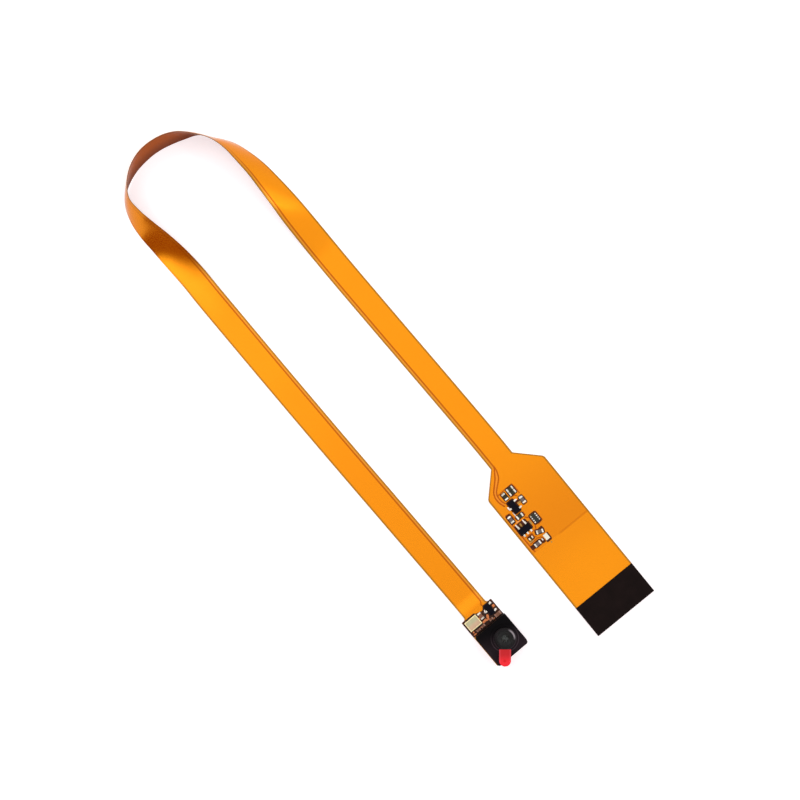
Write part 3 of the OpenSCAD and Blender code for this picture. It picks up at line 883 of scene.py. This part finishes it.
class Print:
    """Thin shapes of one material, gathered in one piece."""

    def __init__(self, place, height):
        self.place, self.height = place, height
        self.verts, self.faces = [], []
        self.rise = 0.0

    def ring(self, points, z):
        """Adds the points at height z and gives back their numbers."""
        z += self.rise if z else 0.0
        first = len(self.verts)
        self.verts += [self.place(x, y, z) for x, y in points]
        return list(range(first, first + len(points)))

    def join(self, low, high):
        """Walls between two rings."""
        for k in range(len(low)):
            j = (k + 1) % len(low)
            self.faces.append((low[k], low[j], high[j], high[k]))

    def shape(self, outline, dome=0.0):
        """A slab over a closed outline, or a low dome over a convex one."""
        self.rise += LAYER
        low = self.ring(outline, 0.0)
        top = self.ring(outline, self.height)
        self.join(low, top)
        if dome:
            x = sum(p[0] for p in outline) / len(outline)
            y = sum(p[1] for p in outline) / len(outline)
            for share, rise in DOME_RINGS:
                inner = [(x + (px - x) * share, y + (py - y) * share) for px, py in outline]
                upper = self.ring(inner, self.height + dome * rise)
                self.join(top, upper)
                top = upper
        self.faces.append(tuple(top))

    def patch(self, x, y, width, length, turn=0, dome=0.0, square=3.0):
        """A rounded patch; square=2 is an ellipse, and more is nearer a rectangle."""
        cos, sin = math.cos(math.radians(turn)), math.sin(math.radians(turn))
        outline = []
        for k in range(PATCH_POINTS):
            angle = math.tau * k / PATCH_POINTS
            c, d = math.cos(angle), math.sin(angle)
            u = width / 2 * math.copysign(abs(c) ** (2 / square), c)
            v = length / 2 * math.copysign(abs(d) ** (2 / square), d)
            outline.append((x + u * cos - v * sin, y + u * sin + v * cos))
        self.shape(outline, dome)

    def line(self, points, width):
        """A track of even width through the points."""
        self.rise += LAYER
        left, right = [], []
        for k, (x, y) in enumerate(points):
            x0, y0 = points[max(k - 1, 0)]
            x1, y1 = points[min(k + 1, len(points) - 1)]
            size = math.hypot(x1 - x0, y1 - y0)
            dx, dy = -(y1 - y0) / size * width / 2, (x1 - x0) / size * width / 2
            left.append((x + dx, y + dy))
            right.append((x - dx, y - dy))
        for a, b, c, d in zip(right, right[1:], left[1:], left):
            low, top = self.ring((a, b, c, d), 0.0), self.ring((a, b, c, d), self.height)
            self.join(low, top)
            self.faces.append(tuple(top))

    def build(self, name, material, slot):
        """Makes the piece, which rides on the part's one body."""
        mesh = bpy.data.meshes.new(name)
        mesh.from_pydata(self.verts, [], self.faces)
        mesh.materials.append(material)
        mesh.shade_smooth()
        mesh.set_sharp_from_angle(angle=math.radians(50))
        piece = bpy.data.objects.new(name, mesh)
        scene.collection.objects.link(piece)
        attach(piece, "root")
        return piece


def catmull_rom(a, b, c, d, t):
    """One coordinate of the curve between b and c, for t from 0 to 1."""
    bend, curl = 2 * a - 5 * b + 4 * c - d, 3 * b - a - 3 * c + d
    return 0.5 * (2 * b + (c - a) * t + bend * t**2 + curl * t**3)


def smooth_path(points, steps=6):
    """Smooth curve through the points."""
    ends = [points[0], *points, points[-1]]
    curve = []
    for four in zip(ends, ends[1:], ends[2:], ends[3:]):
        for k in range(steps):
            curve.append(tuple(catmull_rom(*values, k / steps) for values in zip(*four)))
    return curve + [points[-1]]


def patches(height, items, place, dome=0.0, square=3.0):
    """A print of rounded patches, each as (x, y, width, length, turn)."""
    made = Print(place, height)
    for x, y, width, length, turn in items:
        made.patch(x, y, width, length, turn, dome, square)
    return made


def print_head_board():
    """Dark board on the head's open strip, with a tongue of plain circuit left at the neck."""
    board = Print(on_head, GAP_H)
    low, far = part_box("lens_holder")[1].y / MM - 0.1, pad_end / MM
    left, right = plate_box[0].x / MM, plate_box[1].x / MM
    tongue = [
        (-1.9, far), (-1.5, 7.95), (-1.0, 7.75), (-0.4, 7.6), (0.1, 7.55), (0.4, 7.85), (0.7, far),
    ]
    tops = [(left, far), *tongue, (right, far)]
    for (x0, y0), (x1, y1) in zip(tops, tops[1:]):
        board.shape([(x0, low), (x1, low), (x1, y1), (x0, y0)])
    return board.build("head_board", head_board(), "stiffener_black")


def print_head_copper():
    """Bare pads on the head's strip."""
    pads = patches(PAD_H, [
        (-1.05, 5.42, 1.25, 0.5, 8), (0.1, 5.75, 0.55, 0.95, -28), (-0.35, 5.2, 0.9, 0.3, 0),
        (2.62, 6.78, 0.62, 0.6, 0), (-4.55, 5.05, 0.34, 0.45, 0), (-4.55, 4.5, 0.8, 0.3, 0),
        (-2.2, 4.85, 1.0, 0.3, 0), (0.9, 4.55, 0.5, 0.3, 0), (-1.55, 6.6, 0.25, 0.5, 0),
    ], on_head)
    look = bare_copper("copper_pads", srgb(196, 104, 52), srgb(236, 150, 98))
    return pads.build("head_copper", look, "gold_contact")


def print_head_solder():
    """Blobs of solder on the head's strip."""
    joints = patches(PAD_H, [
        (2.5, 7.74, 0.5, 0.6, 0), (2.5, 5.84, 0.5, 0.55, 0), (0.33, 7.0, 0.45, 0.85, -38),
        (-1.02, 7.45, 0.95, 0.32, -20),
    ], on_head, dome=0.12)
    return joints.build("head_solder", SOLDER, "tin")


# Gaps on both sides of the track that winds down from the ribbon's left side
LEFT_GAP = smooth_path([
    (5.88, 43.7), (5.45, 43.1), (4.9, 42.3), (4.2, 41.35), (3.05, 40.2), (2.1, 39.2), (1.68, 38.2),
    (1.62, 37.2), (1.82, 36.2), (2.15, 35.3),
])
RIGHT_GAP = smooth_path([
    (5.88, 43.8), (5.78, 42.9), (5.5, 42.0), (5.0, 41.05), (4.25, 40.35), (3.4, 39.65), (2.75, 39.0),
    (2.32, 38.2), (2.25, 37.2), (2.4, 36.3), (2.75, 35.7),
])
# Other gaps between the tail's tracks: their points and width
GAPS = [
    ([(2.3, 38.15), (3.2, 38.2), (4.4, 38.3), (6.5, 38.32), (6.62, 37.2), (6.55, 35.6)], 0.26),
    ([(6.6, 35.2), (6.8, 34.2), (6.5, 33.2), (5.6, 33.3)], 0.24),
    ([(2.9, 38.1), (3.0, 36.25), (4.4, 36.1), (5.4, 36.0), (5.8, 35.4)], 0.22),
    ([(0.85, 33.6), (1.9, 33.5), (2.1, 32.4), (2.2, 31.5), (2.9, 31.15), (4.5, 31.1),
      (4.55, 32.0)], 0.24),
    ([(0.75, 31.3), (0.85, 29.0), (0.9, 25.0), (1.0, 23.3)], 0.32),
    ([(4.05, 30.8), (4.5, 30.3), (4.75, 30.2), (4.8, 28.0), (4.4, 27.3)], 0.3),
    ([(6.75, 30.4), (6.8, 27.9), (5.4, 27.6)], 0.2),
    ([(1.2, 25.3), (3.3, 25.4), (4.1, 25.1), (4.3, 24.0)], 0.26),
    ([(1.3, 27.1), (3.1, 27.0), (3.0, 26.2), (3.3, 25.7)], 0.24),
    ([(3.2, 27.3), (4.2, 27.2), (4.6, 26.9)], 0.24),
]


def print_tail_traces():
    """Brighter tracks: between the two winding gaps, and along the tail's left edge."""
    sides = zip(LEFT_GAP[8:], RIGHT_GAP[8:])
    middle = [((a + c) / 2, (b + d) / 2) for (a, b), (c, d) in sides]
    traces = Print(on_tail, TRACE_H)
    traces.line(middle, 0.28)
    traces.line([(0.62, 34.0), (0.6, 30.0), (0.62, 23.8)], 0.2)
    look = bare_copper("trace_glow", srgb(232, 134, 40), srgb(240, 146, 52))
    return traces.build("tail_traces", look, "flex_orange")


def print_tail_tracks():
    """Narrow gaps that part the tail's tracks."""
    gaps = Print(on_tail, GAP_H)
    gaps.line(LEFT_GAP, 0.3)
    gaps.line(RIGHT_GAP, 0.28)
    for points, width in GAPS:
        gaps.line(points, width)
    return gaps.build("tail_tracks", gap_line(), "flex_orange")


def print_tail_gaps():
    """Dark board around and under the small parts, partly painted shadow beside them."""
    deep = patches(DEEP_H, [
        (5.42, 37.22, 2.17, 2.32, 0), (3.5, 37.05, 1.32, 2.12, 0), (3.68, 34.1, 2.12, 3.52, 0),
        (1.3, 32.3, 1.32, 2.52, 0), (3.35, 31.62, 2.17, 1.27, 0), (6.15, 34.1, 1.32, 2.32, 0),
        (2.45, 28.75, 3.57, 2.07, 0), (2.35, 29.9, 3.22, 1.52, 0), (2.2, 26.3, 1.57, 1.22, 0),
        (4.65, 26.25, 2.32, 1.27, -20), (2.58, 24.4, 2.12, 1.42, 0), (5.75, 29.2, 2.07, 2.82, 0),
        # The last two patches of this row are painted shadows below and beside the pale block
        (1.2, 24.4, 0.92, 1.12, 0), (5.12, 23.5, 1.32, 0.62, 0), (5.7, 24.3, 0.47, 1.72, 0),
        (5.05, 34.55, 1.42, 0.52, 0), (5.3, 26.65, 1.02, 0.72, 0), (4.0, 24.2, 0.82, 1.22, 0),
    ], on_tail, square=6.0)
    return deep.build("tail_gaps_and_shadows", dark_board_and_shadow(), "stiffener_black")


def print_tail_copper():
    """Bare pads beside the tail's small parts."""
    pads = patches(PAD_H, [
        (5.2, 34.05, 1.0, 0.42, 0), (4.35, 29.1, 0.4, 1.2, 0), (2.3, 29.95, 0.4, 0.8, 0),
        (1.9, 25.55, 1.0, 0.25, 0), (5.2, 22.75, 0.34, 0.3, 0), (1.5, 27.6, 0.5, 0.45, 0),
        (3.3, 27.7, 0.6, 0.42, 0), (4.2, 36.3, 0.9, 0.2, 0), (1.85, 26.2, 0.6, 0.8, 0),
        (2.4, 27.55, 0.4, 0.4, 0), (5.5, 30.25, 1.0, 0.2, 0), (3.55, 38.0, 0.7, 0.15, 0),
    ], on_tail)
    look = bare_copper("olive_pads", srgb(150, 112, 44), srgb(200, 160, 92))
    return pads.build("tail_copper", look, "gold_contact")


def print_tail_vias():
    """Warmer plated spots between them."""
    vias = patches(VIA_H, [
        (2.62, 26.38, 0.36, 0.6, 0), (6.25, 33.35, 0.7, 0.35, 0), (6.2, 30.0, 0.3, 0.25, 0),
        (5.3, 28.3, 0.3, 0.3, 0), (2.2, 30.9, 0.8, 0.25, 0),
    ], on_tail)
    look = bare_copper("warm_pads", srgb(224, 130, 70), srgb(250, 180, 120))
    return vias.build("tail_vias", look, "gold_contact")


def print_tail_solder():
    """Blobs of solder at the tail's small parts."""
    joints = patches(PAD_H, [
        (2.52, 34.42, 0.62, 0.8, 0), (4.85, 35.02, 0.75, 0.42, 0), (4.78, 33.1, 0.8, 0.36, 12),
        (1.36, 30.3, 0.38, 0.95, 0), (3.26, 30.25, 0.4, 0.9, 0), (2.66, 32.5, 0.26, 1.4, 0),
        (4.0, 24.45, 0.4, 0.6, 0), (6.05, 34.85, 0.75, 0.42, 0), (1.3, 32.95, 0.6, 0.42, 0),
        (4.02, 31.66, 0.42, 0.55, 0), (6.07, 37.55, 0.3, 0.6, 0), (4.8, 37.9, 0.36, 0.4, 0),
        (3.45, 37.68, 0.75, 0.32, -12),
    ], on_tail, dome=0.1)
    return joints.build("tail_solder", SOLDER, "tin")


print_head_board()
print_head_copper()
print_head_solder()
tail_prints = [
    print_tail_traces(),
    print_tail_tracks(),
    print_tail_gaps(),
    print_tail_copper(),
    print_tail_vias(),
    print_tail_solder(),
]

# ---- Stage and light ----

TABLE_REACH = 3.0
TABLE_DROP = 0.02 * MM
FLOOR_ALBEDO = 0.65
FLOOR_GLOW = (0.59, 0.53, 0.545)
MIRRORED_GLOW = 0.4
# The dark card on the table's -X side: its place, half its length, and how high it reaches, in
# degrees seen from the lens axis
FLAG_X = -0.5
FLAG_Y = 0.1
FLAG_HALF = 0.32
FLAG_ANGLE = 13
ROOM_LEVEL = 0.98
WHITE = (1.0, 1.0, 1.0)
# A dark warm patch of the room: degrees of lean from straight up towards -X, and to either side.
# A pair is where a change begins and ends
DARK_FROM = (24, 42)
DARK_TO = (84, 76)
DARK_SIDES = (48, 34)
DARK_TONE = (0.2, 0.012, 0.0)
# A brighter patch of the ceiling beside it, given the same way, with its sides towards +Y
HOT_FROM = (-2, 7)
HOT_TO = (34, 22)
HOT_SIDE_FROM = (-3, 7)
HOT_SIDE_TO = (26, 14)
HOT_LEVEL = 1.3
# Soft lamps: place, size and the brightness of the face, where 1 is white
LAMPS = {
    "right_box": ((0.86, -0.06, 0.72), (0.45, 0.45), 0.55),
    "spark": ((0.81, -0.4, 0.8), (0.12, 0.12), 24.0),
    "back_box": ((-0.25, 1.0, 0.85), (0.7, 0.5), 2.4),
}


def add_card(name, corners):
    """A flat four-sided piece of the stage."""
    mesh = bpy.data.meshes.new(name)
    mesh.from_pydata([Vector(corner) for corner in corners], [], [(0, 1, 2, 3)])
    card = bpy.data.objects.new(name, mesh)
    scene.collection.objects.link(card)
    return card


def add_floor():
    """Pale table. For the camera and in reflections it also glows a little, so it reads white."""
    reach, z = TABLE_REACH, -TABLE_DROP
    corners = [(-reach, -reach, z), (reach, -reach, z), (reach, reach, z), (-reach, reach, z)]
    floor = add_card("floor", corners)
    m = Surface("floor")
    m.look((FLOOR_ALBEDO, FLOOR_ALBEDO, FLOOR_ALBEDO), 0.9, specular=0.0)
    ray = m.add("ShaderNodeLightPath").outputs
    mirrored = m.times(ray["Is Glossy Ray"], MIRRORED_GLOW)
    seen = m.math("MAXIMUM", ray["Is Camera Ray"], ray["Is Transmission Ray"])
    seen = m.math("MAXIMUM", seen, mirrored)
    m.set(m.shader.inputs["Emission Color"], (*FLOOR_GLOW, 1.0))
    m.set(m.shader.inputs["Emission Strength"], seen)
    floor.data.materials.append(m.material)


def add_flag():
    """A low dark card beside the table, which only reflections see, as a photographer's flag."""
    x, low, high = FLAG_X, FLAG_Y - FLAG_HALF, FLAG_Y + FLAG_HALF
    top = -FLAG_X * math.tan(math.radians(FLAG_ANGLE))
    flag = add_card("flag", [(x, low, 0), (x, high, 0), (x, high, top), (x, low, top)])
    flag.visible_camera = flag.visible_diffuse = flag.visible_transmission = flag.visible_shadow = False
    m = Surface("flag")
    m.look((0.0, 0.0, 0.0), 1.0, specular=0.0)
    m.set(m.shader.inputs["Emission Color"], (*DARK_TONE, 1.0))
    m.set(m.shader.inputs["Emission Strength"], 1.0)
    flag.data.materials.append(m.material)


def add_softbox(name, place, aim, size, radiance):
    """A rectangular lamp whose face has the given brightness, where 1 is white."""
    data = bpy.data.lights.new(name, "AREA")
    data.shape = "RECTANGLE"
    data.size, data.size_y = size
    data.energy = radiance * math.pi * size[0] * size[1]
    lamp = bpy.data.objects.new(name, data)
    lamp.location = place
    lamp.rotation_euler = (Vector(aim) - Vector(place)).to_track_quat("-Z", "Y").to_euler()
    scene.collection.objects.link(lamp)


def add_world():
    """White room with a dark patch overhead, on the side where the ribbon climbs darkest, and a
    brighter patch beside that one."""
    world = bpy.data.worlds.new("studio")
    scene.world = world
    w = Nodes(world)
    sky = w.tree.nodes["Background"]

    def ramp(value, ends):
        return w.step(value, *[math.radians(end) for end in ends])

    x, y, z = w.parts(w.add("ShaderNodeTexCoord").outputs["Generated"])
    lean = w.math("ARCTAN2", w.times(x, -1.0), z)
    side = w.math("ARCSINE", y)
    dark = w.times(ramp(lean, DARK_FROM), ramp(lean, DARK_TO))
    dark = w.times(dark, ramp(w.math("ABSOLUTE", side), DARK_SIDES))
    w.set(sky.inputs["Color"], w.mix(dark, WHITE, DARK_TONE))
    hot = w.times(ramp(lean, HOT_FROM), ramp(lean, HOT_TO))
    hot = w.times(hot, w.times(ramp(side, HOT_SIDE_FROM), ramp(side, HOT_SIDE_TO)))
    w.set(sky.inputs["Strength"], w.plus(w.times(hot, HOT_LEVEL), ROOM_LEVEL))


add_floor()
add_flag()
centre = (VIEW_CENTRE.x, VIEW_CENTRE.y, 0.0)
for lamp_name, (place, size, radiance) in LAMPS.items():
    add_softbox(lamp_name, place, centre, size, radiance)
add_world()

scene.view_settings.view_transform = "Standard"
